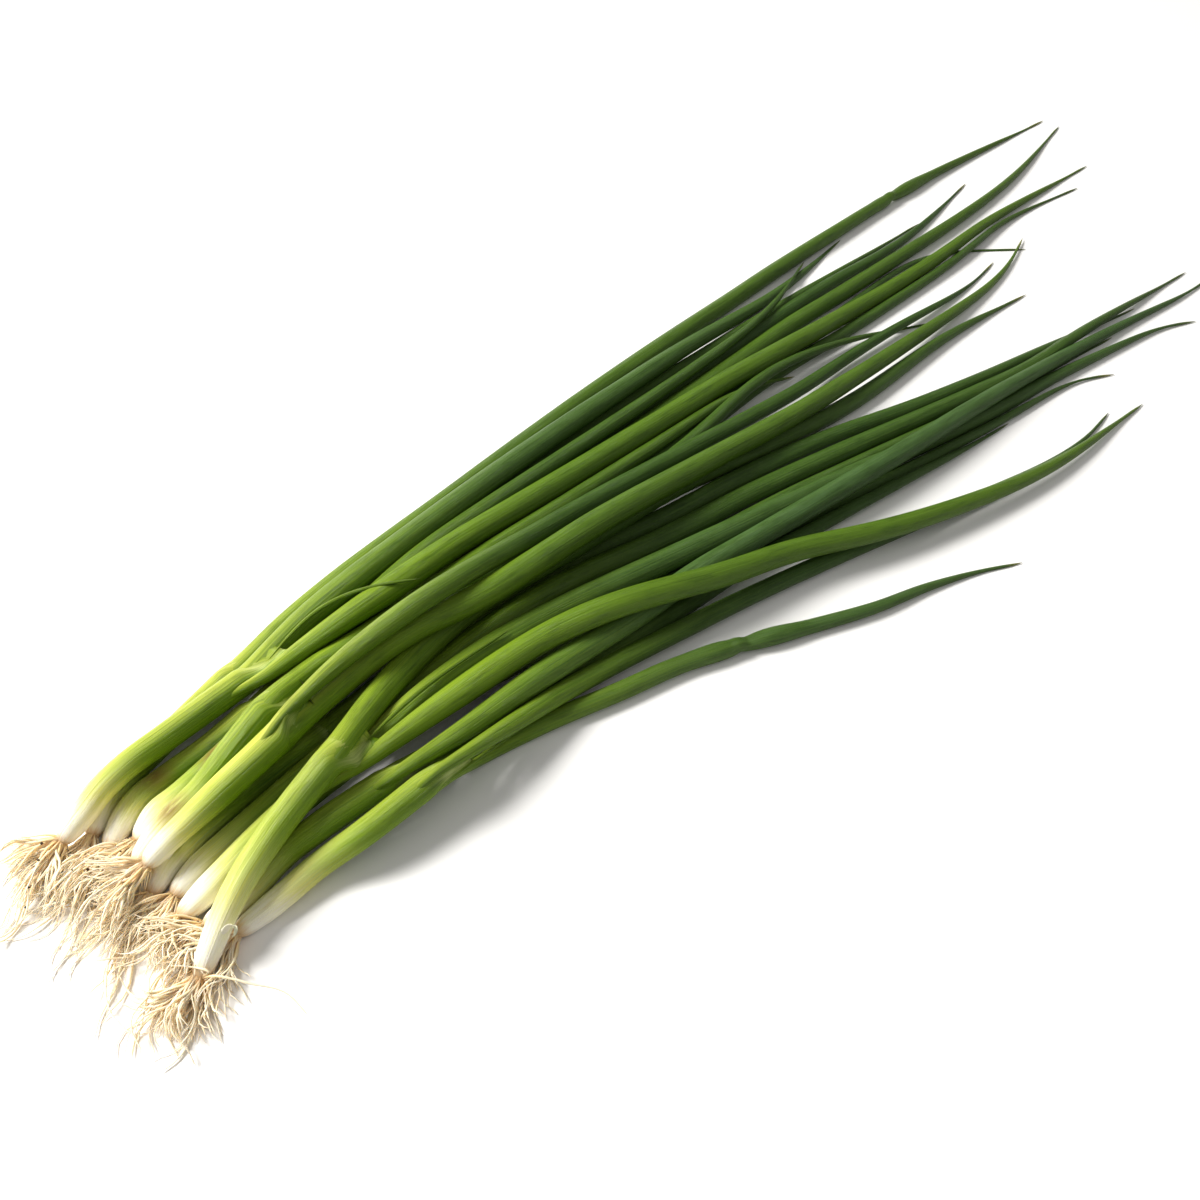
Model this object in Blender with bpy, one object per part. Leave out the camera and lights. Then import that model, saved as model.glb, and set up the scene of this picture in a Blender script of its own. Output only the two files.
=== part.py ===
# A bunch of scallions lying on a flat surface, roots at -X and leaf tips at +X.
# Each plant has a shank with its bulb, two or three tubular leaves and a tuft of roots.
# The tables are in millimetres. Routes give the pile roughly; strands that would touch are
# then eased apart until each has its clearance from all the others.

import math
import random
from collections import namedtuple

import bmesh
import bpy
import numpy as np
from mathutils import Vector

MM = 0.001
CLEARANCE = 0.35        # left between neighbouring pieces
ROOT_CLEARANCE = 0.55   # the same for roots, which bend more sharply
FLATNESS = 0.9          # height of every cross-section over its width
SEAM = 0.3              # left where a leaf meets its shank and a shank its root plate

SHANK_SIDES = 10
LEAF_SIDES = 8
ROOT_SIDES = 3
SHANK_STATIONS = (0.0, 3.0, 8.0, 15.0, 25.0, 38.0)   # rings from the base up the shank
LEAF_PITCH = 22.0       # between a leaf's rings
TIP_LENGTH = 12.0       # the last, quickly tapering stretch of a leaf
LEAF_SWELL = 42.0       # a leaf reaches its full width this far from its shank
NECK_GROWN = 40.0       # a shank is as wide as its neck this far from its base
COLLAR_FLARE = 1.06     # a shank widens this much where its leaves part
FORK_SETBACK = 2.0      # the other leaves start this far past the shank's end
FIRST_WIDTH = 0.8       # the first leaf's width at the fork over the shank's
FORK_WIDTH = 0.5        # a side leaf's width there over its full width
KINK_WIDTH = 0.72       # a leaf's width at its kink over the width beside it
KINK_SPREAD = 4.0       # the rings on either side of a kink are this far from it
LEAST_RADIUS = 0.45     # of a leaf
LAST_STEP = 6.0         # no other ring of a shank is nearer its end than this

PLATE_HEIGHT = 2.2      # the root plate under the bulb
PLATE_WIDTHS = (0.9, 0.97)    # its two ends over the bulb's foot
ROOT_RADIUS = 0.65      # a root where it leaves the plate
ROOT_PITCH = 4.5        # between a root's bends
ROOTS_PER_PLANT = 11
GOLDEN_ANGLE = math.radians(137.5)
ROOT_OWNER = 100        # added to a plant's number to mark its roots in the pile
ROOT_LENGTHS = (10.0, 27.0)
STRAY_LENGTH = 38.0     # now and then a root is this long
STRAY_CHANCE = 0.1
ROOT_TRIES = 260
ROOT_FALLS = (0.1, 1.2)       # how steeply roots sink, from those that trail to those that drop
ROOT_TURN = 0.25              # a root turns by up to this at every bend
ROOT_WANDER = 0.35            # and strays from that by up to this
ROOT_TIP = 0.55               # a root's radius at its tip over that at its start
OWN_SHANK_REACH = 9.0         # nearer its foot than this, a root may pass beside its own shank
OWN_ROOTS_REACH = 5.0         # and nearer than this, touch its own plant's roots

SAMPLE = 2.0            # strands are tested against each other this finely
EASE_BOUTS = 4          # near pairs are looked for again at the start of each
EASE_ROUNDS = 110       # of small moves that part touching strands, in each bout
EASE_STEP = 1.2         # of what is lacking is made up in one round
EASE_REACH = 16.0       # strands move as one over this length
NEIGHBOUR_MARGIN = 3.0  # pairs of samples this far from touching are also watched
TOUCHDOWN = 0.2         # a ring this close to the surface lies on it
PAIR_ROWS = 500         # samples looked through at a time for near ones

Leaf = namedtuple("Leaf", "radius route kink", defaults=(None,))
Plant = namedtuple("Plant", "neck bulb shank leaves")

# Routes are points (x, y, height). A shank's starts at its roots. The first leaf goes on from
# the shank's end and the others start beside it. A kink is a place (x, y) on a leaf's route.
PLANTS = (
    Plant(3.8, 0.1, [(-227, -65, 2), (-200, -61, 5), (-182, -62, 11), (-167, -59, 11)], [
        Leaf(3.0, [(-143, -55, 3), (-82, -63, 2), (-23, -79, 2), (8, -84, 1),
             (32, -92, 0)], kink=(-63, -67)),
        Leaf(3.2, [(-143, -57, 11), (-108, -52, 5), (-29, -56, 3), (63, -66, 1), (95, -65, 1),
             (113, -60, 0)]),
        Leaf(0.9, [(-146, -58, 7), (-133, -56, 6)]),
    ]),
    Plant(3.9, 0.2, [(-247, -18, 2), (-234, -7, 3), (-195, 9, 3)], [
        Leaf(4.0, [(-173, 18, 3), (-39, 52, 3), (96, 78, 3), (173, 90, 2),
             (255, 96, 0)], kink=(148, 84)),
        Leaf(2.8, [(-173, 12, 2), (-35, 42, 2), (144, 67, 0)]),
    ]),
    Plant(3.8, 0.3, [(-240, -44, 2), (-225, -35, 3), (-186, -25, 3)], [
        Leaf(3.8, [(-86, -10, 3), (-57, -13, 3), (-9, -12, 3), (21, -14, 3), (66, -20, 2),
             (171, -25, 0)]),
    ]),
    Plant(4.0, 0.3, [(-245, -24, 2), (-229, -15, 3), (-201, -9, 3), (-193, -6, 3)], [
        Leaf(3.9, [(-112, 20, 3), (68, 53, 2), (115, 58, 2), (145, 65, 1), (184, 78, 0)]),
        Leaf(3.0, [(-169, 0, 7), (-124, 15, 10), (-19, 35, 8), (41, 49, 7), (83, 72, 2)]),
    ]),
    Plant(4.0, 0.2, [(-236, -47, 2), (-218, -40, 3), (-192, -36, 6), (-177, -32, 6)], [
        Leaf(4.0, [(-154, -27, 3), (-126, -22, 8), (-95, -18, 5), (-65, -20, 4), (-20, -20, 3),
             (103, -27, 2), (133, -25, 3), (208, -21, 0)]),
        Leaf(3.0, [(-152, -30, 8), (-118, -26, 3), (-87, -25, 3), (-57, -27, 3), (-9, -27, 2),
             (68, -31, 2), (149, -32, 0)]),
    ]),
    Plant(4.0, 1.3, [(-238, -27, 2), (-214, -19, 6), (-197, -15, 8)], [
        Leaf(4.0, [(-175, -7, 4), (-100, 14, 3), (65, 45, 3), (80, 46, 3), (188, 64, 2), (257, 88, 0)]),
        Leaf(2.6, [(-174, -11, 7), (-142, -4, 3), (-111, 5, 2), (-20, 20, 2), (98, 44, 1),
             (130, 48, 1), (167, 28, 0)]),
        Leaf(3.0, [(-175, -15, 8), (-145, -9, 8), (-84, 5, 3), (-23, 14, 3), (24, 23, 2), (132, 37, 2),
             (178, 47, 1), (222, 47, 0)]),
    ]),
    Plant(4.0, 0.5, [(-237, -52, 2), (-193, -43, 10), (-178, -40, 11)], [
        Leaf(4.1, [(-170, -37, 11), (-142, -33, 12), (-110, -29, 9), (-65, -31, 8), (74, -37, 2),
             (106, -36, 2), (169, -39, 1), (184, -44, 0)]),
        Leaf(3.0, [(-151, -34, 6), (-135, -35, 6), (-71, -35, 3), (52, -41, 2), (115, -41, 1),
             (132, -47, 0)]),
    ]),
    Plant(4.0, 0.2, [(-240, -33, 2), (-231, -31, 6), (-206, -22, 13), (-193, -16, 14)], [
        Leaf(3.4, [(-170, -6, 11), (-126, 1, 10), (-36, 14, 7), (10, 21, 5), (33, 21, 0)]),
        Leaf(2.9, [(-170, -12, 13), (-154, -10, 13), (-76, 2, 6), (-31, 8, 6), (11, 20, 8),
             (42, 23, 6), (75, 21, 2), (102, 13, 0)]),
    ]),
    Plant(4.0, 0.2, [(-233, -58, 2), (-215, -55, 4), (-188, -54, 10), (-175, -53, 9)], [
        Leaf(3.2, [(-151, -48, 3), (-76, -46, 3), (-46, -43, 2), (28, -44, 3), (79, -43, 0)]),
        Leaf(3.9, [(-148, -52, 11), (-83, -44, 9), (-53, -40, 8), (20, -39, 10), (83, -34, 7),
             (150, -30, 2), (197, -31, 1), (213, -29, 0)]),
        Leaf(0.9, [(-158, -55, 8), (-150, -59, 9)]),
    ]),
    Plant(4.1, 0.2, [(-254, -17, 5), (-247, -15, 8), (-231, -8, 10), (-192, 2, 8)], [
        Leaf(4.2, [(-171, 12, 8), (-69, 36, 9), (54, 61, 2), (108, 77, 0)]),
        Leaf(4.2, [(-173, 0, 11), (-158, 1, 14), (-98, 12, 11), (8, 27, 7), (38, 29, 7), (87, 36, 3),
             (133, 42, 3), (180, 51, 2), (240, 57, 0)]),
        Leaf(0.9, [(-171, 5, 10), (-157, 6, 14), (-136, -1, 16)]),
    ]),
    Plant(4.1, -0.2, [(-239, -71, 2), (-226, -62, 8), (-212, -53, 12), (-186, -44, 18)], [
        Leaf(4.5, [(-179, -39, 18), (-166, -30, 14), (-138, -16, 11), (-109, -12, 11), (-78, -11, 11),
             (-30, -4, 5), (33, -5, 3), (96, 4, 2), (143, 6, 0)]),
        Leaf(4.2, [(-164, -43, 14), (-119, -38, 14), (-91, -43, 16), (-60, -49, 13), (-28, -52, 10),
             (1, -61, 8), (64, -69, 4), (127, -64, 0)]),
        Leaf(0.9, [(-165, -38, 17), (-124, -31, 14)]),
    ]),
    Plant(4.5, -0.5, [(-238, -38, 8), (-230, -37, 12), (-205, -31, 16), (-194, -27, 16)], [
        Leaf(4.3, [(-171, -19, 14), (-144, -18, 19), (-130, -19, 18), (-86, -14, 19), (-24, -6, 12),
             (22, -2, 9), (136, 18, 1), (171, 33, 0)]),
        Leaf(3.4, [(-174, -19, 20), (-145, -17, 26), (-98, -6, 18), (-67, 0, 13), (28, 10, 5),
             (60, 16, 3), (125, 22, 1), (149, 29, 0)]),
    ]),
)

# Colour, roughness and metallic value of each kind of piece
FINISHES = {
    "shank": ((0.62, 0.72, 0.30, 1.0), 0.35, 0.0),
    "leaf": ((0.06, 0.17, 0.035, 1.0), 0.42, 0.0),
    "roots": ((0.78, 0.60, 0.38, 1.0), 0.75, 0.0),
}


# Routes and widths

def curve_through(points, per_span=24):
    """Fine points of the smooth curve through a route's points, where sections are round."""
    points = np.asarray(points, float) / (1.0, 1.0, FLATNESS)
    ends = [2 * points[0] - points[1]], [2 * points[-1] - points[-2]]
    padded = np.vstack([ends[0], points, ends[1]])
    t = np.linspace(0.0, 1.0, per_span, endpoint=False)[:, None]
    spans = []
    for a, b, c, d in zip(padded, padded[1:], padded[2:], padded[3:]):
        spans.append(0.5 * (2 * b + (c - a) * t + (2 * a - 5 * b + 4 * c - d) * t ** 2
                            + (3 * b - a - 3 * c + d) * t ** 3))
    return np.vstack(spans + [points[-1:]])


def distances_along(curve):
    """Distance from a curve's start to each of its points."""
    return np.r_[0.0, np.cumsum(np.linalg.norm(np.diff(curve, axis=0), axis=1))]


def points_at(curve, stations):
    """Points of a curve at the given distances from its start, also a little before it."""
    along = distances_along(curve)
    inside = np.column_stack([np.interp(stations, along, curve[:, k]) for k in range(3)])
    back = (curve[0] - curve[1]) / along[1]
    return inside + np.maximum(-np.asarray(stations), 0.0)[:, None] * back


def shank_radius(s, plant):
    """Radius of a shank at a distance from its base: a rounded foot, the bulb, then the neck."""
    foot = 0.7 + 0.3 * np.sin(np.clip(s / 8.0, 0.0, 1.0) * math.pi / 2)
    grown = 0.78 + 0.22 * np.clip(s / NECK_GROWN, 0.0, 1.0) ** 0.8
    bulb = plant.bulb * np.exp(-((s - 9.0) / 9.0) ** 2)
    return foot * (plant.neck * grown + bulb)


def leaf_radius(s, length, start, full):
    """Radius of a leaf at a distance from its shank, swelling to its full width, then tapering."""
    swell = np.clip(s / LEAF_SWELL, 0.0, 1.0) ** 0.8
    taper = np.clip(1.0 - (s / length) ** 3.2, 0.0, 1.0) ** 0.9
    return np.maximum((start + (full - start) * swell) * taper, LEAST_RADIUS)


def leaf_stations(length, kink):
    """Distances of a leaf's rings from its start; the last one is its tip."""
    tip = min(TIP_LENGTH, 0.4 * length)
    count = max(3, round((length - tip) / LEAF_PITCH) + 1)
    stations = list(np.linspace(0.0, length - tip, count)) + [length - tip / 3, length]
    if kink is not None:
        stations = [s for s in stations if abs(s - kink) > 2 * KINK_SPREAD]
        stations += [kink - KINK_SPREAD, kink, kink + KINK_SPREAD]
    return np.array(sorted(stations))


def place_of_kink(curve, point):
    """Distance along a curve to its point nearest the kink, or None."""
    if point is None:
        return None
    nearest = np.argmin(np.linalg.norm(curve[:, :2] - point, axis=1))
    return distances_along(curve)[nearest]


def leaf_rings(curve, leaf, start_radius):
    """Stations and radii of a leaf along its own curve, pinched at its kink."""
    length = distances_along(curve)[-1]
    kink = place_of_kink(curve, leaf.kink)
    stations = leaf_stations(length, kink)
    radii = leaf_radius(stations, length, start_radius, leaf.radius)
    if kink is not None:
        radii[np.isclose(stations, kink)] *= KINK_WIDTH
    return stations, radii


# The pile: every strand is a chain of straight stretches between its rings

class Pile:
    """Sample points of all strands, in a space where cross-sections are round."""

    def __init__(self):
        self.points = np.zeros((0, 3))
        self.radii = np.zeros(0)
        self.owners = np.zeros(0, int)

    def add(self, strand, owner):
        points, radii = samples(strand)
        self.points = np.vstack([self.points, points])
        self.radii = np.r_[self.radii, radii]
        self.owners = np.r_[self.owners, np.full(len(radii), owner)]

    def near(self, centre, distance):
        """The part of the pile round a point."""
        close = np.linalg.norm(self.points - centre, axis=1) < distance
        crowd = Pile()
        crowd.points, crowd.radii, crowd.owners = self.points[close], self.radii[close], self.owners[close]
        return crowd


class Strand:
    """Ring centres, radii and directions of one tapering tube."""

    def __init__(self, centres, radii):
        self.centres = np.array(centres, float)
        self.radii = np.asarray(radii, float)
        self.directions = None

    def aim(self):
        """Turn every ring square to the strand's course."""
        along = distances_along(self.centres)
        slopes = np.gradient(self.centres, along, axis=0)
        self.directions = slopes / np.linalg.norm(slopes, axis=1)[:, None]

    def part(self, first, last):
        """Some of the rings, each still facing as it did."""
        piece = Strand(self.centres[first:last], self.radii[first:last])
        piece.directions = self.directions[first:last]
        return piece


def sample_weights(strand):
    """For each sample point, the stretch it is on and how far along that stretch."""
    lengths = np.linalg.norm(np.diff(strand.centres, axis=0), axis=1)
    spans, parts = [], []
    for span, length in enumerate(lengths):
        count = max(1, math.ceil(length / SAMPLE))
        spans += [span] * count
        parts += list(np.arange(count) / count)
    return np.array(spans + [len(lengths) - 1]), np.array(parts + [1.0])


def mix(values, spans, parts):
    """Values between rings, in proportion."""
    parts = parts if values.ndim == 1 else parts[:, None]
    return values[spans] * (1 - parts) + values[spans + 1] * parts


def samples(strand):
    """Sample points and radii along a strand."""
    spans, parts = sample_weights(strand)
    return mix(strand.centres, spans, parts), mix(strand.radii, spans, parts)


def flat_side(sides):
    """Distance from a regular outline's centre to its sides, over its radius."""
    return math.cos(math.pi / sides)


def on_surface(strand):
    """Heights of a strand's rings when it lies on the surface."""
    return strand.radii * flat_side(LEAF_SIDES)


def stiffness(strand):
    """Weights that make rings close to each other move together."""
    along = distances_along(strand.centres)
    weights = np.maximum(1.0 - np.abs(along[:, None] - along[None]) / EASE_REACH, 0.0)
    return weights / weights.sum(axis=1)[:, None]


def watched_pairs(points, radii, strand_of, plant_of, in_shank):
    """Samples of different strands that are near each other; a side leaf ignores its own shank."""
    firsts, seconds = [], []
    for start in range(0, len(points), PAIR_ROWS):
        rows = slice(start, start + PAIR_ROWS)
        apart = np.linalg.norm(points[rows, None] - points[None], axis=2)
        near = apart < radii[rows, None] + radii[None] + CLEARANCE + NEIGHBOUR_MARGIN
        near &= strand_of[rows, None] < strand_of[None]
        near &= ~((plant_of[rows, None] == plant_of[None]) & (in_shank[rows, None] | in_shank[None]))
        first, second = np.nonzero(near)
        firsts.append(first + start)
        seconds.append(second)
    return np.concatenate(firsts), np.concatenate(seconds)


def ease_apart(strands, plant_of_strand, forks):
    """Move strands that are too close apart, a little each round."""
    weights = [sample_weights(s) for s in strands]
    counts = [len(spans) for spans, _ in weights]
    strand_of = np.repeat(np.arange(len(strands)), counts)
    plant_of = np.asarray(plant_of_strand)[strand_of]
    in_shank = np.concatenate([spans < fork for (spans, _), fork in zip(weights, forks)])
    radii = np.concatenate([mix(s.radii, *w) for s, w in zip(strands, weights)])
    places = np.concatenate([mix(s.centres, *w) for s, w in zip(strands, weights)])
    firsts, seconds = watched_pairs(places, radii, strand_of, plant_of, in_shank)
    reach = radii[firsts] + radii[seconds] + CLEARANCE
    starts = np.cumsum([0] + counts)
    together = [stiffness(s) for s in strands]
    for _ in range(EASE_ROUNDS):
        places = np.concatenate([mix(s.centres, *w) for s, w in zip(strands, weights)])
        between = places[seconds] - places[firsts]
        apart = np.linalg.norm(between, axis=1)
        close = apart < reach
        push = between[close] * ((reach - apart)[close] / apart[close] / 2 * EASE_STEP)[:, None]
        moves, hits = np.zeros_like(places), np.zeros(len(places))
        np.add.at(moves, firsts[close], -push)
        np.add.at(moves, seconds[close], push)
        np.add.at(hits, firsts[close], 1)
        np.add.at(hits, seconds[close], 1)
        moves /= np.maximum(hits, 1)[:, None]
        for strand, (spans, parts), start, stiff in zip(strands, weights, starts, together):
            rows = slice(start, start + len(spans))
            strand.centres += stiff @ ring_moves(moves[rows], hits[rows] > 0, spans, parts, strand)
            strand.centres[:, 2] = np.maximum(strand.centres[:, 2], on_surface(strand))


def ring_moves(moves, touched, spans, parts, strand):
    """What the touching samples' moves mean for the rings on either side of them."""
    total, share = np.zeros_like(strand.centres), np.zeros(len(strand.radii))
    for rings, weight in ((spans, 1 - parts), (spans + 1, parts)):
        weight = weight * touched
        np.add.at(total, rings, moves * weight[:, None])
        np.add.at(share, rings, weight)
    return total / np.maximum(share, 1e-9)[:, None]


# Meshes

def ring_points(strand, sides):
    """Outline points of every ring, square to the strand, flattened to real heights."""
    across = np.cross((0.0, 0.0, 1.0), strand.directions)
    across /= np.linalg.norm(across, axis=1)[:, None]
    upward = np.cross(strand.directions, across)
    turns = (np.arange(sides) + 0.5) * 2 * math.pi / sides
    around = (across[:, None] * np.cos(turns)[None, :, None]
              + upward[:, None] * np.sin(turns)[None, :, None])
    points = strand.centres[:, None] + around * strand.radii[:, None, None]
    points[..., 2] *= FLATNESS
    points[..., 2] = np.where(points[..., 2] < 0.1, 0.0, points[..., 2])
    return points


def tube_mesh(name, strand, sides, pointed):
    """Closed tube through a strand's rings; a pointed one ends in a single tip vertex."""
    points = ring_points(strand, sides) * MM
    rings = points[:-1] if pointed else points
    bm = bmesh.new()
    loops = [[bm.verts.new(p) for p in ring] for ring in rings]
    for lower, upper in zip(loops, loops[1:]):
        for k in range(sides):
            n = (k + 1) % sides
            bm.faces.new((lower[k], lower[n], upper[n], upper[k]))
    bm.faces.new(list(reversed(loops[0])))
    if pointed:
        tip = bm.verts.new(points[-1].mean(axis=0))
        for k in range(sides):
            bm.faces.new((loops[-1][k], loops[-1][(k + 1) % sides], tip))
    else:
        bm.faces.new(loops[-1])
    bmesh.ops.triangulate(bm, faces=bm.faces[:], quad_method="SHORT_EDGE")
    bmesh.ops.recalc_face_normals(bm, faces=bm.faces[:])
    mesh = bpy.data.meshes.new(name)
    bm.to_mesh(mesh)
    bm.free()
    mesh.shade_smooth()
    mesh.set_sharp_from_angle(angle=math.radians(60))
    return mesh


def finish_for(name, kind):
    """The material of one piece, in its kind's colour and gloss."""
    colour, roughness, metallic = FINISHES[kind]
    material = bpy.data.materials.new(name)
    material.use_nodes = True
    shader = material.node_tree.nodes["Principled BSDF"]
    shader.inputs["Base Color"].default_value = colour
    shader.inputs["Roughness"].default_value = roughness
    shader.inputs["Metallic"].default_value = metallic
    material.diffuse_color = colour
    return material


def add_piece(name, mesh, kind, bunch):
    """An object of the bunch with its own material."""
    piece = bpy.data.objects.new(name, mesh)
    mesh.materials.append(finish_for(name, kind))
    piece.parent = bunch
    bpy.context.scene.collection.objects.link(piece)
    return piece


# Plants

def main_strand(plant):
    """Root plate, shank and first leaf as one strand, and the ring counts of the first two."""
    shank = curve_through(plant.shank)
    shank_length = distances_along(shank)[-1]
    whole = curve_through(list(plant.shank) + list(plant.leaves[0].route))
    whole_length = distances_along(whole)[-1]
    plate = [-(PLATE_HEIGHT + SEAM), -SEAM]
    shaft = [s for s in SHANK_STATIONS if s < shank_length - LAST_STEP] + [shank_length]
    shaft_radii = shank_radius(np.array(shaft), plant)
    shaft_radii[-1] *= COLLAR_FLARE
    foot = shaft_radii[0]

    leaf = plant.leaves[0]
    kink = place_of_kink(whole, leaf.kink)
    length = whole_length - shank_length - SEAM
    stations = leaf_stations(length, None if kink is None else kink - shank_length - SEAM)
    radii = leaf_radius(stations, length, FIRST_WIDTH * plant.neck, leaf.radius)
    if kink is not None:
        radii[np.isclose(stations, kink - shank_length - SEAM)] *= KINK_WIDTH

    places = np.r_[plate, shaft, stations + shank_length + SEAM]
    widths = np.r_[foot, foot, shaft_radii, radii]
    strand = Strand(points_at(whole, places), widths)
    strand.aim()
    return strand, len(plate), len(shaft)


def side_strand(leaf, main, fork):
    """A leaf that starts at its plant's fork, beside the first one, on the side it heads for."""
    centre, forward = main.centres[fork], main.directions[fork]
    aside = np.array(leaf.route[0]) / (1.0, 1.0, FLATNESS) - centre
    aside -= forward * (aside @ forward)
    aside /= np.linalg.norm(aside)
    apart = main.radii[fork] + FORK_WIDTH * leaf.radius + CLEARANCE
    start = (centre + forward * FORK_SETBACK + aside * apart) * (1.0, 1.0, FLATNESS)
    curve = curve_through([start] + list(leaf.route))
    stations, radii = leaf_rings(curve, leaf, FORK_WIDTH * leaf.radius)
    return Strand(points_at(curve, stations), radii)


def root_start(number, foot, forward, side, width):
    """Where a root leaves the plate, in a sunflower's pattern, and which way it sets out."""
    turn = number * GOLDEN_ANGLE
    out = math.sqrt((number + 0.5) / ROOTS_PER_PLANT)
    across, up = out * math.cos(turn), out * math.sin(turn)
    start = foot - forward * PLATE_HEIGHT * 0.5 + (side * across + np.array([0.0, 0.0, up])) * width
    return start, across, up


def try_root(start, heading, climb, rng, pile):
    """One root's path from the plate: it wanders, falls, and comes to lie on what is below it."""
    length = STRAY_LENGTH if rng.random() < STRAY_CHANCE else rng.uniform(*ROOT_LENGTHS)
    count = max(3, round(length / ROOT_PITCH))
    fall = rng.uniform(*ROOT_FALLS)
    turn = rng.uniform(-ROOT_TURN, ROOT_TURN)
    points = [np.array(start)]
    for step in range(count):
        x, y, z = points[-1]
        x += ROOT_PITCH * math.cos(heading)
        y += ROOT_PITCH * math.sin(heading)
        lowest = ROOT_RADIUS
        near = np.hypot(pile.points[:, 0] - x, pile.points[:, 1] - y) < pile.radii + 2 * ROOT_RADIUS
        below = near & (pile.points[:, 2] < z)
        if below.any():
            lowest = (pile.points[below, 2] + pile.radii[below]).max() + ROOT_RADIUS + ROOT_CLEARANCE
        drop = fall * ROOT_PITCH * min(1.0, (step + 0.3) / 2) - climb * 2.0 / (step + 1)
        points.append(np.array([x, y, max(z - drop, min(lowest, z + 2.0), ROOT_RADIUS)]))
        heading += turn + rng.uniform(-ROOT_WANDER, ROOT_WANDER)
    points = np.array(points)
    root = Strand(points, ROOT_RADIUS * np.linspace(1.0, ROOT_TIP, len(points)))
    root.aim()
    return root


def is_clear(root, pile, owner, foot, forward):
    """Whether a root misses all other strands, and its own shank by staying behind its foot."""
    points, radii = samples(root)
    from_foot = np.linalg.norm(points - foot, axis=1)
    apart = np.linalg.norm(points[:, None] - pile.points[None], axis=2)
    touching = apart < radii[:, None] + pile.radii[None] + ROOT_CLEARANCE
    touching &= ~((from_foot < OWN_SHANK_REACH)[:, None] & (pile.owners == owner)[None])
    touching &= ~((from_foot < OWN_ROOTS_REACH)[:, None] & (pile.owners == owner + ROOT_OWNER)[None])
    behind = ((points - foot) @ forward)[from_foot < OWN_SHANK_REACH] < -ROOT_RADIUS
    return behind.all() and not touching.any()


def grow_roots(strand, owner, rng, pile):
    """The roots of one plant, each clear of every other strand."""
    foot = strand.centres[1]
    forward = strand.directions[1]
    back = math.atan2(-forward[1], -forward[0])
    side = np.array([forward[1], -forward[0], 0.0])
    side /= np.linalg.norm(side)
    width = strand.radii[1] * PLATE_WIDTHS[0] - ROOT_RADIUS
    roots = []
    for number in range(ROOTS_PER_PLANT):
        start, across, up = root_start(number, foot, forward, side, width)
        crowd = pile.near(foot, STRAY_LENGTH + ROOT_PITCH + 10.0)
        for _ in range(ROOT_TRIES):
            heading = back + across * 0.9 + rng.uniform(-0.25, 0.25)
            root = try_root(start, heading, up, rng, crowd)
            if is_clear(root, crowd, owner, foot, forward):
                pile.add(root, owner + ROOT_OWNER)
                roots.append(root)
                break
    return roots


def drop_scraps(mesh):
    """Keep only a mesh's largest shell, so that sealed hollows and loose scraps go."""
    bm = bmesh.new()
    bm.from_mesh(mesh)
    left, shells = set(bm.verts), []
    while left:
        shell, edge = set(), [left.pop()]
        while edge:
            vert = edge.pop()
            shell.add(vert)
            new = {e.other_vert(vert) for e in vert.link_edges} & left
            left -= new
            edge += new
        shells.append(shell)
    shells.sort(key=len)
    for shell in shells[:-1]:
        bmesh.ops.delete(bm, geom=list(shell), context="VERTS")
    bm.to_mesh(mesh)
    bm.free()


def fused_roots(name, plate, roots):
    """Root plate and roots in one mesh, by a Boolean union."""
    tuft = bpy.data.collections.new(name + "_tuft")
    for number, root in enumerate(roots):
        strand = tube_mesh(name + "_strand", root, ROOT_SIDES, pointed=True)
        tuft.objects.link(bpy.data.objects.new(f"{name}_strand_{number}", strand))
    body = bpy.data.objects.new(name + "_plate", tube_mesh(name, plate, SHANK_SIDES, pointed=False))
    bpy.context.scene.collection.objects.link(body)
    bpy.context.scene.collection.children.link(tuft)
    union = body.modifiers.new("Union", "BOOLEAN")
    union.operation = "UNION"
    union.operand_type = "COLLECTION"
    union.collection = tuft
    union.solver = "MANIFOLD"
    bpy.context.view_layer.update()
    depsgraph = bpy.context.evaluated_depsgraph_get()
    mesh = bpy.data.meshes.new_from_object(body.evaluated_get(depsgraph))
    for helper in list(tuft.objects) + [body]:
        bpy.data.objects.remove(helper)
    bpy.data.collections.remove(tuft)
    mesh.materials.clear()
    drop_scraps(mesh)
    return mesh


def place_plants(pile):
    """Each plant's strands, with the main one first, eased apart and put on the pile."""
    placed, strands, owners, forks = [], [], [], []
    for owner, plant in enumerate(PLANTS):
        main, plate_rings, shank_rings = main_strand(plant)
        fork = plate_rings + shank_rings
        own = [main] + [side_strand(leaf, main, fork) for leaf in plant.leaves[1:]]
        placed.append((own, plate_rings, fork))
        strands += own
        owners += [owner] * len(own)
        forks += [fork] + [0] * (len(own) - 1)
    for _ in range(EASE_BOUTS):
        ease_apart(strands, owners, forks)
    for strand in strands:
        lying = strand.centres[:, 2] - on_surface(strand) < TOUCHDOWN
        strand.centres[lying, 2] = on_surface(strand)[lying]
        strand.aim()
    for strand, owner in zip(strands, owners):
        pile.add(strand, owner)
    return placed


def model_plant(number, strands, plate_end, shank_end, roots, bunch):
    """The pieces of one plant."""
    name = f"scallion_{number:02d}"
    main = strands[0]
    shank = main.part(plate_end, shank_end)
    add_piece(name + "_shank", tube_mesh(name, shank, SHANK_SIDES, False), "shank", bunch)
    leaves = [main.part(shank_end, len(main.radii))] + strands[1:]
    for letter, leaf in zip("abc", leaves):
        add_piece(f"{name}_leaf_{letter}", tube_mesh(name, leaf, LEAF_SIDES, True), "leaf", bunch)
    plate = main.part(0, plate_end)
    plate.radii = plate.radii * PLATE_WIDTHS
    add_piece(name + "_roots", fused_roots(name, plate, roots), "roots", bunch)


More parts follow.
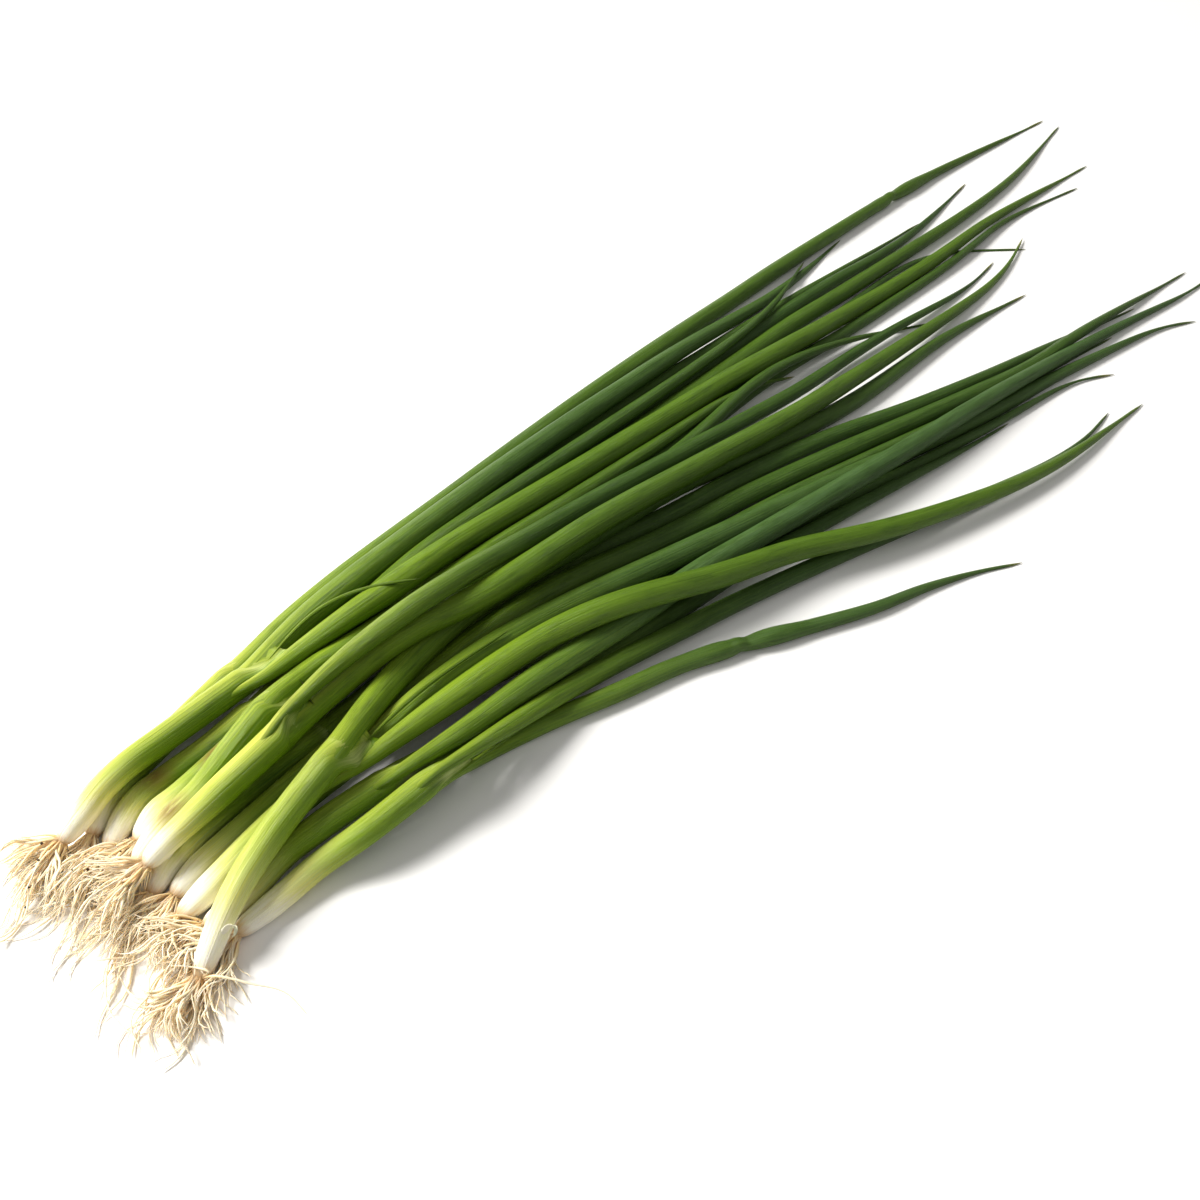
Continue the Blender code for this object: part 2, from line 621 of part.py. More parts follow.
def centre_bunch(bunch):
    """Move the bunch so that its origin is under the middle of its box, on the surface."""
    bpy.context.view_layer.update()
    corners = [piece.matrix_world @ Vector(c) for piece in bunch.children for c in piece.bound_box]
    low = [min(c[k] for c in corners) for k in range(3)]
    high = [max(c[k] for c in corners) for k in range(3)]
    bunch.location = (-(low[0] + high[0]) / 2, -(low[1] + high[1]) / 2, -low[2])


def main():
    for thing in list(bpy.data.objects):
        bpy.data.objects.remove(thing)
    bunch = bpy.data.objects.new("bunch", None)
    bpy.context.scene.collection.objects.link(bunch)
    rng = random.Random(7)
    pile = Pile()
    placed = place_plants(pile)
    for number, (strands, plate_end, shank_end) in enumerate(placed):
        roots = grow_roots(strands[0], number, rng, pile)
        model_plant(number + 1, strands, plate_end, shank_end, roots, bunch)
    centre_bunch(bunch)


main()
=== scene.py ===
# The looks of a bunch of scallions lying on a pale surface.
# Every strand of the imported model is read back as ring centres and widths, and a fine piece is
# bent along them. A course is a strand's points, a value at each, and its distance from the start.

import math
import random

import bmesh
import bpy
import numpy as np
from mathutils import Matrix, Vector


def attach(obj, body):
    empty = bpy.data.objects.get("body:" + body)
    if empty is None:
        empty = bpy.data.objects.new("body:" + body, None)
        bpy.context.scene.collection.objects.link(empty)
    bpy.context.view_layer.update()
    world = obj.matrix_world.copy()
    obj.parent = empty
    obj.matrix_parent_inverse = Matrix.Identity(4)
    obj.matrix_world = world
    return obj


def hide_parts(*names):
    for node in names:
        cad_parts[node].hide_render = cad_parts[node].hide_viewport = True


MM = 0.001
BODY = "root"
PLANTS = 12
LETTERS = "abc"             # of a plant's leaves; the first one goes on from its shank
FLATNESS = 0.9              # height of a cross-section over its width, as in the solids
SHANK_SIDES = 10            # sides of the solids' tubes
ROOT_SIDES = 3
SAME_CORNER = 2e-6          # corners of the solids' triangles this close are one
SAME_PLANE = 0.999          # how nearly faces of one plane point the same way; 1 is exactly
LEAST_HEIGHT = 0.1 * MM     # of every point above the surface
FULL_TURN = 2 * math.pi
UP = (0.0, 0.0, 1.0)

# Camera, in the model's frame: the photograph looks down on the bunch from its lower right
CAMERA_PLACE = (-0.21, -0.2233, 0.283)
CAMERA_HEADING = math.radians(55.0)     # from +X towards +Y
CAMERA_PITCH = math.radians(50.0)       # below the horizon
FIELD_OF_VIEW = math.radians(54.0)
SENSOR_WIDTH = 36.0

FLOOR_REACH = 3.0
PALE_LIGHT = ((1.0, 0.985, 0.965, 1.0), 0.34)      # from all round: its colour and strength
# Lights: their names, places, sizes, powers and colours
LIGHTS = (
    ("window", (-0.75, 0.85, 0.95), 0.6, 42.0, (1.0, 0.985, 0.95)),
    ("fill", (0.9, -0.5, 1.3), 1.2, 2.0, (1.0, 0.98, 0.95)),
)


def linear(r, g, b):
    """A colour given in 0 to 255 screen values, as the shader's linear one."""
    def channel(v):
        v /= 255
        return v / 12.92 if v <= 0.04045 else ((v + 0.055) / 1.055) ** 2.4
    return channel(r), channel(g), channel(b), 1.0


# Colours. Those of a stem go with the distance from its foot, over its green length
STEM_COLOURS = (
    (0.00, linear(242, 222, 186)), (0.07, linear(253, 248, 232)), (0.20, linear(250, 244, 204)),
    (0.34, linear(216, 214, 84)), (0.52, linear(160, 178, 22)), (0.74, linear(102, 136, 11)),
    (1.00, linear(72, 110, 8)),
)
# Painted sunlight: brighter yellow-greens for the stems and leaves that are to look lit
PAINTED_SUNLIT_STEM = linear(104, 138, 12)
DEEP_LEAF, PAINTED_SUNLIT_LEAF = linear(30, 60, 9), linear(80, 110, 9)
BULB_VEIN, STEM_VEIN, LEAF_VEIN = linear(255, 252, 240), linear(164, 186, 44), linear(94, 124, 40)
# Painted highlight: a pale yellow on the side of stems and leaves that faces up and to the left
PAINTED_HIGHLIGHT = linear(218, 220, 92)
DARK_PATCH = linear(22, 48, 11)
WAX = linear(86, 116, 78)
PALE_MARK = linear(150, 176, 112)
DRY_TIP = linear(150, 142, 78)
SHEATH_STAIN = linear(222, 190, 138)
FOOT_TAN = linear(206, 168, 116)
SCAR_BROWN = linear(122, 84, 36)
SLEEVE_EDGE = linear(206, 214, 140)
ROOT_START, ROOT_CREAM = linear(244, 206, 152), linear(255, 240, 208)
ROOT_TAN, ROOT_BROWN = linear(240, 192, 130), linear(206, 142, 78)
SKIN_LOW, SKIN_HIGH, SKIN_VEIN = linear(250, 246, 226), linear(236, 236, 196), linear(222, 208, 164)
SOIL_DARK, SOIL_LIGHT = linear(44, 34, 28), linear(88, 70, 54)
FLOOR_PALE = linear(246, 245, 244)


# Shader expressions

class Socket:
    """An output of a shader node, which the usual operators extend by Math nodes."""

    def __init__(self, shader, output):
        self.shader = shader
        self.output = output

    def __add__(self, other):
        return self.shader.math("ADD", self, other)

    def __radd__(self, other):
        return self.shader.math("ADD", other, self)

    def __sub__(self, other):
        return self.shader.math("SUBTRACT", self, other)

    def __rsub__(self, other):
        return self.shader.math("SUBTRACT", other, self)

    def __mul__(self, other):
        return self.shader.math("MULTIPLY", self, other)

    def __rmul__(self, other):
        return self.shader.math("MULTIPLY", other, self)

    def step(self, low, high):
        """0 below low, 1 above high, and a soft rise between."""
        return self.shader.node("ShaderNodeMapRange", {"interpolation_type": "SMOOTHSTEP"},
                                {"Value": self, "From Min": low, "From Max": high}, "Result")


class Shader:
    """A material and the one method that adds nodes to it."""

    def __init__(self, name):
        self.material = bpy.data.materials.new(name)
        self.material.use_nodes = True
        self.tree = self.material.node_tree
        self.principled = self.tree.nodes["Principled BSDF"]

    def node(self, kind, settings, sockets, out=0):
        """Add a node: its settings first, then the values or links of its sockets."""
        node = self.tree.nodes.new(kind)
        for name, value in settings.items():
            if name == "ramp":
                self.fill_ramp(node.color_ramp, value)
            else:
                setattr(node, name, value)
        for key, value in sockets.items():
            self.feed(node.inputs[key], value)
        return Socket(self, node.outputs[out])

    def feed(self, socket, value):
        if isinstance(value, Socket):
            self.tree.links.new(value.output, socket)
        else:
            socket.default_value = value

    @staticmethod
    def fill_ramp(ramp, stops):
        while len(ramp.elements) < len(stops):
            ramp.elements.new(0.5)
        for element, (place, colour) in zip(ramp.elements, stops):
            element.position = place
            element.color = colour

    def math(self, operation, a, b):
        return self.node("ShaderNodeMath", {"operation": operation}, {0: a, 1: b})

    def attribute(self, name, out="Fac"):
        return self.node("ShaderNodeAttribute", {"attribute_name": name}, {}, out)

    def noise(self, vector, stretch, detail=2.0, roughness=0.5):
        """Noise on a vector whose axes are scaled first."""
        place = self.node("ShaderNodeVectorMath", {"operation": "MULTIPLY"}, {0: vector, 1: stretch})
        return self.node("ShaderNodeTexNoise", {}, {"Vector": place, "Scale": 1.0, "Detail": detail,
                                                    "Roughness": roughness})

    def veins(self, skin, count, stretch):
        """Fine lines along a strand: noise that is many times longer than it is wide."""
        return self.noise(skin, (count, count, stretch), 3.0, 0.6).step(0.3, 0.7)

    def mix(self, factor, a, b):
        """A colour between two."""
        return self.node("ShaderNodeMix", {"data_type": "RGBA"}, {0: factor, 6: a, 7: b}, 2)

    def bump(self, height, distance, strength):
        return self.node("ShaderNodeBump", {}, {"Height": height, "Distance": distance,
                                                "Strength": strength})

    def finish(self, **sockets):
        """The material, with the shader's own sockets set or linked."""
        for name, value in sockets.items():
            self.feed(self.principled.inputs[name.replace("_", " ")], value)
        return self.material


class PlantShader(Shader):
    """A material of shanks or leaves, with the patterns that all its colours share."""

    def __init__(self, name):
        super().__init__(name)
        self.skin = self.attribute("skin", "Vector")
        self.rise = self.attribute("rise")
        self.lines = self.veins(self.skin, 9.0, 16.0)
        self.fine = self.veins(self.skin, 22.0, 30.0)
        self.broad = self.noise(self.skin, (1.4, 1.4, 26.0), 3.0)
        self.patches = self.noise(self.skin, (2.0, 2.0, 90.0), 4.0, 0.6)
        self.height = self.rise + (self.lines - 0.5) * 0.1 + (self.broad - 0.5) * 0.2
        self.age = (self.attribute("past") + (self.broad - 0.5) * 0.04).step(0.0, 0.13)

    def grown(self):
        """From the white bulb up the stem's yellow-greens to the leaves' greens, brighter with
        painted sunlight.
        """
        sun = self.attribute("sun")
        stem = self.node("ShaderNodeValToRGB", {"ramp": STEM_COLOURS}, {"Fac": self.height})
        # painted sunlight: brighter greens on the upper stem and the leaves of plants given more sun
        stem = self.mix(sun * self.rise.step(0.5, 1.0) * 0.7, stem, PAINTED_SUNLIT_STEM)
        return self.mix(self.age, stem, self.mix(sun, DEEP_LEAF, PAINTED_SUNLIT_LEAF))

    def patterned(self, colour):
        """With pale veins and freckles, a painted highlight on the side that faces up and to the
        left, and dark patches further up.
        """
        pale = self.mix(self.height.step(0.25, 0.8), BULB_VEIN, STEM_VEIN)
        pale = self.mix(self.age, pale, LEAF_VEIN)
        freckles = self.noise(self.skin, (9.0, 9.0, 1400.0), 2.0, 0.6).step(0.55, 0.72)
        veined = self.lines * 0.2 + self.fine * 0.2 + freckles * self.age * 0.22
        colour = self.mix(veined, colour, pale)
        # painted highlight: the side that faces up and to the left is made paler and yellower
        side = self.attribute("band") * self.rise.step(0.2, 0.6) * (0.5 + 0.5 * self.lines)
        colour = self.mix(side, colour, PAINTED_HIGHLIGHT)
        dark = (1 - self.patches).step(0.45, 0.75) * self.rise.step(0.5, 1.2) * 0.4
        return self.mix(dark, colour, DARK_PATCH)

    def weathered(self, colour):
        """With pale marks, dry tips, stains, a tan foot, scars and the sleeve's thin edge."""
        marks = self.noise(self.skin, (3.0, 3.0, 260.0), 2.0, 0.7)
        colour = self.mix(marks.step(0.77, 0.81) * self.age * 0.6, colour, PALE_MARK)
        dry = self.attribute("tip").step(0.97, 1.0) * self.attribute("dry")
        colour = self.mix(dry, colour, DRY_TIP)
        stain = self.noise(self.skin, (2.4, 2.4, 120.0), 4.0, 0.65)
        low = 1 - self.rise.step(0.1, 0.5)
        colour = self.mix(stain.step(0.6, 0.74) * low * 0.4, colour, SHEATH_STAIN)
        foot = 1 - (self.rise + (stain - 0.5) * 0.08).step(0.0, 0.08)
        colour = self.mix(foot * 0.8, colour, FOOT_TAN)
        scar = self.attribute("scar") * (stain + 0.45).step(0.7, 0.95)
        colour = self.mix(scar * 0.9, colour, SCAR_BROWN)
        edge = self.attribute("collar") * (0.3 + 0.7 * self.lines) * 0.7
        return self.mix(edge, colour, SLEEVE_EDGE)


def plant_material(name, translucency):
    """White at the bulb, through yellow-green to deep green, veined, with a bloom of wax."""
    s = PlantShader(name)
    veil = s.attribute("wax") * (0.35 + 0.65 * s.patches.step(0.3, 0.7)) * s.age
    colour = s.weathered(s.mix(veil * 0.42, s.patterned(s.grown()), WAX))
    normal = s.bump(s.lines * 0.5 + s.fine * 0.4 + s.broad * 0.6, 0.00022, 0.8)
    return s.finish(Base_Color=colour, Roughness=0.28 + veil * 0.2 + s.patches * 0.12,
                    Normal=normal, Specular_IOR_Level=0.25, Subsurface_Weight=translucency,
                    Subsurface_Radius=(0.003, 0.003, 0.0016), Subsurface_Scale=1.0)


def root_material():
    """Cream root strands, browner in patches and where they start."""
    s = Shader("root_cream")
    blotch = s.noise(s.attribute("skin", "Vector"), (1.0, 1.0, 160.0), 3.0, 0.6)
    colour = s.mix(s.attribute("rise").step(0.0, 0.5), ROOT_START, ROOT_CREAM)
    colour = s.mix(s.attribute("sun") * 0.5, colour, ROOT_TAN)
    colour = s.mix(blotch.step(0.6, 0.8) * 0.5, colour, ROOT_BROWN)
    return s.finish(Base_Color=colour, Roughness=0.6 + blotch * 0.2,
                    Normal=s.bump(blotch, 0.00012, 0.6), Subsurface_Weight=0.35,
                    Subsurface_Radius=(0.003, 0.0018, 0.001), Subsurface_Scale=1.0)


def skin_material():
    """Thin dry sheath skin: pale and papery, with fine veins."""
    s = Shader("sheath_skin")
    lines = s.veins(s.attribute("skin", "Vector"), 8.0, 20.0)
    colour = s.mix(s.attribute("rise"), SKIN_LOW, SKIN_HIGH)
    colour = s.mix(lines * 0.35, colour, SKIN_VEIN)
    return s.finish(Base_Color=colour, Roughness=0.45, Normal=s.bump(lines, 0.00015, 0.7))


def soil_material():
    """Dark crumbs of soil."""
    s = Shader("soil")
    place = s.node("ShaderNodeTexCoord", {}, {}, "Object")
    grain = s.noise(place, (2400.0, 2400.0, 2400.0), 3.0)
    return s.finish(Base_Color=s.mix(grain, SOIL_DARK, SOIL_LIGHT), Roughness=0.95)


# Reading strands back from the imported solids

def merged_copy(node):
    """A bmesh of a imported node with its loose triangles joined."""
    bm = bmesh.new()
    bm.from_mesh(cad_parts[node].data)
    bmesh.ops.remove_doubles(bm, verts=bm.verts[:], dist=SAME_CORNER)
    return bm


def joined_to(ring, seen):
    """The vertices next to a ring that haven't been met yet."""
    return {e.other_vert(v) for v in ring for e in v.link_edges} - seen


def rings_from(first, sides=None):
    """Rings of vertices met one after another from a first, while they have all their sides."""
    rings, seen = [first], set(first)
    ring = joined_to(first, seen)
    while ring and (sides is None or len(ring) == sides):
        rings.append(ring)
        seen |= ring
        ring = joined_to(ring, seen)
    return rings


def measured(rings):
    """Centres and radii of rings of vertices."""
    centres, radii = [], []
    for ring in rings:
        places = np.array([v.co for v in ring])
        centre = places.mean(axis=0)
        spread = math.sqrt(((places - centre) ** 2).sum(axis=1).mean())
        centres.append(centre)
        radii.append(spread / math.sqrt((1 + FLATNESS ** 2) / 2))
    return np.array(centres), np.array(radii)


def leaf_course(node):
    """A leaf's ring centres and radii, from its base to its tip."""
    bm = merged_copy(node)
    tip = max(bm.verts, key=lambda v: v.co.x)
    centres, radii = measured(rings_from({tip}))
    bm.free()
    return centres[::-1], radii[::-1]


def foot_ring(bm):
    """The vertices of a shank's flat foot: the large flat face at its lowest end along X."""
    start = min(bm.verts, key=lambda v: v.co.x)
    best = set()
    for seed in start.link_faces:
        flat, edge = {seed}, [seed]
        while edge:
            face = edge.pop()
            near = {f for e in face.edges for f in e.link_faces} - flat
            near = {f for f in near if f.normal.dot(seed.normal) > SAME_PLANE}
            flat |= near
            edge += near
        corners = {v for f in flat for v in f.verts}
        if len(corners) == SHANK_SIDES:
            best = corners
    return best


def shank_course(node):
    """A shank's ring centres and radii, from its foot to its fork."""
    bm = merged_copy(node)
    bm.normal_update()
    centres, radii = measured(rings_from(foot_ring(bm)))
    bm.free()
    return centres, radii


def root_courses(node):
    """Centres along each of a tuft's strands, from the plate to the tip."""
    bm = merged_copy(node)
    courses = []
    for tip in bm.verts:
        if len(tip.link_edges) == ROOT_SIDES:
            rings = rings_from({tip}, ROOT_SIDES)
            if len(rings) > 2:
                courses.append(measured(rings)[0][::-1])
    bm.free()
    return courses


# Curves

def smooth_course(points, values, spacing):
    """Even, smooth points through ring centres, with a value at each, and their distances."""
    table = np.column_stack([points, values]).astype(float)
    along = distances(table[:, :3])
    slopes = np.gradient(table, along, axis=0)
    count = max(4, round(along[-1] / spacing))
    s = np.linspace(0.0, along[-1], count + 1)
    k = np.clip(np.searchsorted(along, s, side="right") - 1, 0, len(along) - 2)
    span = (along[k + 1] - along[k])[:, None]
    t = (s - along[k])[:, None] / span
    out = ((2 * t ** 3 - 3 * t ** 2 + 1) * table[k] + (t ** 3 - 2 * t ** 2 + t) * span * slopes[k]
           + (3 * t ** 2 - 2 * t ** 3) * table[k + 1] + (t ** 3 - t ** 2) * span * slopes[k + 1])
    return out[:, :3], out[:, 3], s


def distances(points):
    """Distance from the first point to each, along them."""
    return np.r_[0.0, np.cumsum(np.linalg.norm(np.diff(points, axis=0), axis=1))]


def softened(values, rounds):
    """Values with their bumps eased, ends kept."""
    values = values.copy()
    for _ in range(rounds):
        values[1:-1] = (values[:-2] + 2 * values[1:-1] + values[2:]) / 4
    return values


def unit(vectors):
    """Vectors of length 1."""
    return vectors / np.linalg.norm(vectors, axis=-1, keepdims=True)


def frames(points):
    """Directions along, across and upward at each point of a course."""
    forward = unit(np.gradient(points, axis=0))
    across = np.cross(UP, forward)
    lengths = np.linalg.norm(across, axis=1)[:, None]
    across = np.where(lengths > 1e-3, across / np.maximum(lengths, 1e-9), (1.0, 0.0, 0.0))
    return forward, across, np.cross(forward, across)


def wander(rng, s, wavelength, size):
    """A smooth random wave along a course: a few sines with drawn lengths and phases."""
    total = np.zeros(len(s))
    for k in range(3):
        waves = s * FULL_TURN / (wavelength * rng.uniform(0.6, 1.6))
        total += math.sin(1.0 + k) * np.sin(waves + rng.uniform(0, FULL_TURN))
    return total * size / 1.6


# Pieces

class Tube:
    """A straight closed tube's vertices by ring and turn, to be bent along a course."""

    def __init__(self, sides, stretches):
        bm = self.bm = bmesh.new()
        bmesh.ops.create_cone(bm, cap_ends=True, cap_tris=False, segments=sides, radius1=1.0,
                              radius2=1.0, depth=float(stretches))
        long_edges = [e for e in bm.edges if abs(e.verts[0].co.z - e.verts[1].co.z) > 0.5]
        bmesh.ops.subdivide_edges(bm, edges=long_edges, cuts=stretches - 1, use_grid_fill=True)
        bmesh.ops.translate(bm, verts=bm.verts[:], vec=(0.0, 0.0, stretches / 2))
        places = np.array([v.co for v in bm.verts])
        self.ring = np.rint(places[:, 2]).astype(int)
        self.turn = np.arctan2(places[:, 1], places[:, 0])

    def bend(self, points, radii, flatness, relief=1.0):
        """Vertex places along a course; relief is a factor on the radius for each vertex."""
        _, across, upward = frames(points)
        factor = radii[self.ring] * relief
        return (points[self.ring]
                + across[self.ring] * (factor * np.cos(self.turn))[:, None]
                + upward[self.ring] * (factor * flatness * np.sin(self.turn))[:, None])

    def skin(self, s):
        """Where each vertex lies on its strand's skin: round it and along it."""
        return np.column_stack([np.cos(self.turn), np.sin(self.turn), s[self.ring]])


def mesh_from(bm, places, name):
    """A smooth-shaded mesh of a bmesh, its vertices put in place, none below the surface."""
    places[:, 2] = np.maximum(places[:, 2], LEAST_HEIGHT)
    mesh = bpy.data.meshes.new(name)
    bm.to_mesh(mesh)
    bm.free()
    mesh.vertices.foreach_set("co", places.astype(np.float32).ravel())
    mesh.update()
    mesh.shade_smooth()
    return mesh


def store(mesh, **attributes):
    """Keep values for a mesh's vertices: one for all of them, one each, or three each."""
    for name, values in attributes.items():
        values = np.asarray(values, np.float32)
        if values.ndim == 0:
            values = np.full(len(mesh.vertices), values)
        kind, field = ("FLOAT_VECTOR", "vector") if values.ndim == 2 else ("FLOAT", "value")
        layer = mesh.attributes.new(name, kind, "POINT")
        layer.data.foreach_set(field, values.ravel())


def add_piece(name, mesh, material, replaced=None):
    """A finished piece, riding on the bunch."""
    piece = bpy.data.objects.new(name, mesh)
    bpy.context.scene.collection.objects.link(piece)
    mesh.materials.append(material)
    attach(piece, BODY)
    if replaced:
        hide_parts(replaced)


# Plants

SHANK_SPACING = 0.9 * MM
GREEN_LENGTH = 40.0 * MM    # a plant turns from white to green over this much
WHITER = {6: 0.75, 11: 1.35, 1: 1.3, 12: 0.85, 4: 0.85, 2: 0.8, 7: 1.15}     # times this
PAINTED_HIGHLIGHT_STRENGTHS = {12: 0.95, 2: 0.7, 10: 0.6, 4: 0.6, 11: 0.5, 7: 0.5}      # how strong the painted highlight on one side is
PLAIN_PAINTED_HIGHLIGHT = 0.3
PAINTED_HIGHLIGHT_TURN = 0.9             # where the painted highlight is, from the plant's left, in radians
PAINTED_HIGHLIGHT_REACH = 22.0 * MM      # and how far past the fork it goes


class Plant:
    """The courses of one plant, and what varies from plant to plant."""

    def __init__(self, number):
        self.number = number
        self.name = f"scallion_{number:02d}"
        self.rng = random.Random(number)
        self.shank = shank_course(self.name + "_shank")
        self.fine_shank = smooth_course(*self.shank, SHANK_SPACING)
        self.length = self.fine_shank[2][-1]
        self.leaves = {letter: leaf_path(self, letter) for letter in LETTERS
                       if f"{self.name}_leaf_{letter}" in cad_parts}
        self.shift = self.rng.uniform(0, 9)     # of its patterns, along it

    def rise(self, s):
        """Distances from the foot over the length in which this plant turns green."""
        return s / (GREEN_LENGTH * WHITER.get(self.number, 1.0))

    def painted_highlight_side(self, tube, past):
        """How strong the painted highlight is on the side that faces up and to the left, near the
        shank.
        """
        facing = np.maximum(np.cos(tube.turn - PAINTED_HIGHLIGHT_TURN), 0.0) ** 2
        return PAINTED_HIGHLIGHT_STRENGTHS.get(self.number, PLAIN_PAINTED_HIGHLIGHT) * facing * np.exp(-past / PAINTED_HIGHLIGHT_REACH)

    def look(self, letter):
        """How much painted sunlight a leaf has, and how waxy it is."""
        return LOOKS.get(f"{self.number:02d}_{letter}", PLAIN_LOOK)


# Leaves: how much painted sunlight each one has and how waxy it is; the others are plain
LOOKS = {
    "01_a": (0.25, 0.6), "01_b": (0.1, 0.35), "02_a": (0.5, 0.1), "03_a": (0.1, 0.2),
    "04_a": (0.05, 0.2), "05_a": (0.2, 0.2), "06_a": (0.5, 0.1), "06_b": (0.15, 0.3),
    "07_a": (0.15, 0.5), "07_b": (0.1, 0.3), "08_a": (0.6, 0.1), "09_a": (0.1, 0.4),
    "09_b": (0.1, 0.8), "10_a": (0.25, 0.55), "10_b": (0.85, 0.05), "11_a": (0.3, 0.3),
    "11_b": (0.8, 0.05), "12_a": (0.7, 0.1), "12_b": (0.1, 0.2),
}
PLAIN_LOOK = (0.25, 0.2)
FINE_LEAF_SIDES = 28
LEAF_SPACING = 2.2 * MM
TIP_RADIUS = 0.08 * MM
TUCK = 16.0 * MM            # how far a leaf reaches back inside its shank
TUCKED = ((TUCK, 0.15), (TUCK / 2, 0.5))    # its points there: how deep, and how far aside
GROWN_WIDTH = 0.93          # the first leaf's width where it leaves the shank, over the shank's
GROWN_REACH = 34.0 * MM     # and how soon it has its own width
SIDE_WIDTH = 0.8            # the most that another leaf has there
FREE_REACH = 14.0 * MM      # a leaf is free of its shank's course this far past the fork
EASED_ROUNDS = 40           # how much its course is softened then
FLUTED_REACH = 20.0 * MM    # and it has its flutes this far past it
DRY_CHANCE, DRY, HARDLY_DRY = 0.4, 0.7, 0.2         # how dry its tip is

FOLDED = ("01_a", "02_a")   # leaves that are bent over
FOLD_SWELL, FOLD_LENGTH = 0.14, 3.0 * MM            # how much wider they are at the fold
FOLD_RISE, FOLD_RISE_LENGTH = 0.9 * MM, 1.8 * MM    # and how they rise
FOLD_RISE_BEFORE = 1.6 * MM                         # before it


def led_back(centres, radii, plant, first):
    """A leaf's points and widths inside its shank, and its width where it leaves it."""
    shank_points, shank_radii, shank_s = plant.fine_shank
    aside = centres[0] - shank_points[-1]
    start = GROWN_WIDTH * shank_radii[-1] if first else min(radii[0], shank_radii[-1] * SIDE_WIDTH)
    points, widths = [], []
    for deep, share in TUCKED:
        at = np.argmin(np.abs(shank_s - (shank_s[-1] - deep)))
        room = 0.92 * shank_radii[at] - share * np.linalg.norm(aside)
        points.append(shank_points[at] + aside * share)
        widths.append(max(0.3 * shank_radii[at], min(start * 0.9, room)))
    return points, widths, start


def folded_over(points, widths, s, place):
    """A leaf's course with the crease at which it is bent over, near a place."""
    at = s[np.argmin(np.linalg.norm(points - place, axis=1))]
    widths = widths * (1 + FOLD_SWELL * np.exp(-((s - at) / FOLD_LENGTH) ** 2))
    points[:, 2] += FOLD_RISE * np.exp(-((s - at + FOLD_RISE_BEFORE) / FOLD_RISE_LENGTH) ** 2)
    return points, widths


def leaf_path(plant, letter):
    """A leaf's fine course: led back into its shank, so that it grows out of it."""
    first = letter == LETTERS[0]
    folded = f"{plant.number:02d}_{letter}" in FOLDED
    centres, radii = leaf_course(f"{plant.name}_leaf_{letter}")
    back, narrow, start = led_back(centres, radii, plant, first)
    radii[-1] = TIP_RADIUS
    points, widths, s = smooth_course(np.vstack([back, centres]), np.r_[narrow, radii],
                                      LEAF_SPACING / 2 if folded else LEAF_SPACING)
    if first:
        near = np.clip(1 - (s - TUCK) / GROWN_REACH, 0.0, 1.0) ** 2 * (s >= TUCK - LEAF_SPACING)
        widths = widths * (1 - near) + np.maximum(widths, start) * near
    widths = np.maximum(softened(widths, 2), TIP_RADIUS)
    free = np.clip((s - TUCK) / FREE_REACH, 0.0, 1.0)
    for axis in range(3):
        eased = softened(points[:, axis], 1 if folded else EASED_ROUNDS)
        points[:, axis] += free * (eased - points[:, axis])
        points[:, axis] = softened(points[:, axis], 1)
    if folded:
        beside = (radii[:-2] + radii[2:]) / 2
        narrowest = 1 + np.argmin((radii[1:-1] / beside)[:-3])
        points, widths = folded_over(points, widths, s, centres[narrowest])
    return points, widths, s


def leaf_piece(plant, letter, material):
    """One leaf: a soft, slightly fluted tube that tapers to its tip."""
    points, widths, s = plant.leaves[letter]
    tube = Tube(FINE_LEAF_SIDES, len(s) - 1)
    phase = wander(plant.rng, s, 0.16, 1.2)[tube.ring]
    flutes = 0.012 * np.sin(5 * tube.turn + phase) + 0.008 * np.sin(9 * tube.turn - 2 * phase)
    dents = wander(plant.rng, s, 0.05, 0.02)[tube.ring] * np.cos(2 * tube.turn + phase)
    fluted = np.clip((s - TUCK) / FLUTED_REACH, 0.0, 1.0)[tube.ring]
    places = tube.bend(points, widths, FLATNESS, 1 + fluted * (flutes + dents))
    label = f"leaf_{plant.number:02d}_{letter}"
    mesh = mesh_from(tube.bm, places, label)
    sun, wax = plant.look(letter)
    along = s - TUCK
    past = np.maximum(along, 0.0)[tube.ring]
    store(mesh, skin=tube.skin(plant.length + along + plant.shift), past=past, sun=sun, wax=wax,
          rise=plant.rise(plant.length + along)[tube.ring], band=plant.painted_highlight_side(tube, past),
          tip=(s / s[-1])[tube.ring], dry=DRY if plant.rng.random() < DRY_CHANCE else HARDLY_DRY)
    add_piece(label, mesh, material, f"{plant.name}_leaf_{letter}")


# Shanks

FINE_SHANK_SIDES = 44
FOOT_ROUNDING = 2.4 * MM    # a shank's foot is rounded over this much
FOOT_WIDTH = 0.72           # from this share of its width
EASED_SHANK = 6             # rounds of softening
SLEEVE = 12.0 * MM          # how far the sheath goes on round the parting leaves
SLEEVE_LIP = 0.16 * MM      # it stands this far off them at first
LIP_FALL = 3.4              # and sinks into them by its end, by this many times as much
LIP_SLANT = 0.16            # sooner on one side
EARLY_RINGS = 3             # rings before the fork at which it starts to be drawn in
FORK_POINTS = 40            # of a leaf's course, that may lie in its sleeve
THIN_FROM = 0.1 * MM        # how far off its leaves a sleeve starts to look thin
THIN_OVER = 1.2 * MM        # and how much further off it is thin all through
THIN_LIP = 0.07 * MM        # it looks thin too where its lip is less high than this
SCARS = {4: 22.0, 6: 30.0, 8: 16.0}     # a brown dried patch, mm from the foot
SCAR_SIZE = 7.0 * MM
SCAR_TURN = 1.4             # on the upper side


def leaf_discs(centre, forward, across, upward, leaves):
    """Middles and widths, in the plane of a ring, of the leaves that pass through it."""
    middles, widths = [], []
    for points, radii, _ in leaves:
        near = points[:FORK_POINTS]
        ahead = (near - centre) @ forward
        middle = [np.interp(0.0, ahead, near[:, k]) for k in range(3)] - centre
        middles.append((middle @ across, middle @ upward / FLATNESS))
        widths.append(np.interp(0.0, ahead, radii[:FORK_POINTS]))
    return np.array(middles), np.array(widths)


